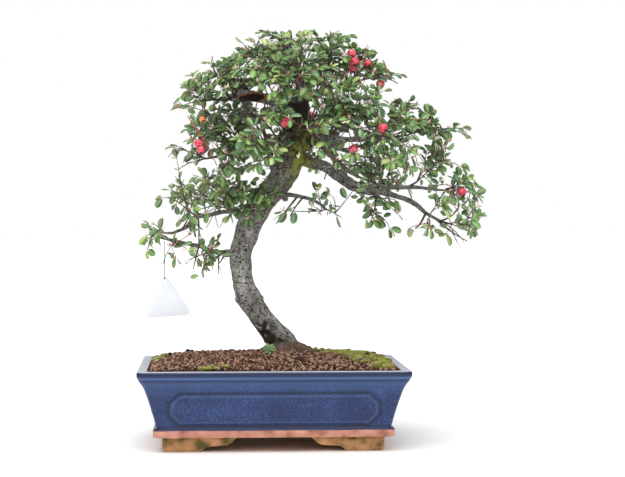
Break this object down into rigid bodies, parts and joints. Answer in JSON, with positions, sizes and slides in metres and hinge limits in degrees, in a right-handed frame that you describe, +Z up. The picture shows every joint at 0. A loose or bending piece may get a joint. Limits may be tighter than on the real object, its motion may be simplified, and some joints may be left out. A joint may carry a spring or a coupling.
{
  "type": "potted cotoneaster bonsai",
  "caption": "Small-leaved cotoneaster bonsai with a curved bare trunk, a wide leafy crown with red berries, and a rectangular blue glazed pot on low feet, with a blank swing tag.",
  "frame": {"origin": "on the floor under the middle of the box of the pot and the tree, without the swing tag and its thread", "axes": "+X to the right along the pot's long side, +Y to the back along its short side, +Z up; the pot's long front faces -Y"},
  "size_m": [0.3352, 0.2394, 0.396],
  "materials": {
    "glazed_pot": "mottled blue gloss glaze on the walls, bare salmon and brown clay on the foot band and feet",
    "drain_mesh": "matte black plastic",
    "soil": "matte brown clay granules with moss patches",
    "bark": "rough grey bark with dark pits and some moss",
    "leaf": "smooth semi-gloss green leaf",
    "berry_red": "smooth glossy red fruit skin",
    "berry_orange": "smooth glossy orange fruit skin",
    "berry_green": "smooth unripe yellow-green fruit skin",
    "tag_card": "plain white card",
    "thread": "grey cotton thread"
  },
  "bodies": {
    "root": {"pot": "glazed_pot", "drain_screen_left": "drain_mesh", "drain_screen_right": "drain_mesh", "soil": "soil", "ground_sprout": "leaf", "tree": "bark", "berry_front": "berry_red", "berries_top_right": "berry_red", "berry_open_calyx": "berry_red", "berry_upper_right": "berry_red", "berry_orange_right": "berry_orange", "berry_right": "berry_red", "berry_hanging": "berry_red", "berry_far_right": "berry_red", "berry_orange_left": "berry_orange", "berries_left": "berry_red", "berry_unripe": "berry_green", "berry_back": "berry_red", "spray_01_low_left": "leaf", "spray_02_low_left": "leaf", "spray_03_low_left": "leaf", "spray_04_mid_left": "leaf", "spray_05_mid_left": "leaf", "spray_06_mid_left": "leaf", "spray_07_left": "leaf", "spray_08_left": "leaf", "spray_09_upper_left": "leaf", "spray_10_upper_left": "leaf", "spray_11_leader": "leaf", "spray_12_leader": "leaf", "spray_13_upper_right": "leaf", "spray_14_upper_right": "leaf", "spray_15_upper_right": "leaf", "spray_16_right_upper": "leaf", "spray_17_right_upper": "leaf", "spray_18_right_fork": "leaf", "spray_19_right_fork": "leaf", "spray_20_right": "leaf", "spray_21_right": "leaf", "spray_22_right": "leaf", "spray_23_low_right": "leaf", "spray_24_front": "leaf", "spray_25_front": "leaf", "spray_26_front_right": "leaf", "spray_27_front_right": "leaf", "spray_28_upper_front": "leaf", "spray_29_upper_front": "leaf", "spray_30_back_left": "leaf", "spray_31_back_left": "leaf", "spray_32_high_back_left": "leaf", "spray_33_high_back_left": "leaf", "spray_34_back": "leaf", "spray_35_back": "leaf", "spray_36_back_right": "leaf", "spray_37_back_right": "leaf", "spray_38_upper_back": "leaf", "spray_39_right_inner": "leaf", "tag": "tag_card", "tag_thread": "thread"}
  },
  "joints": []
}
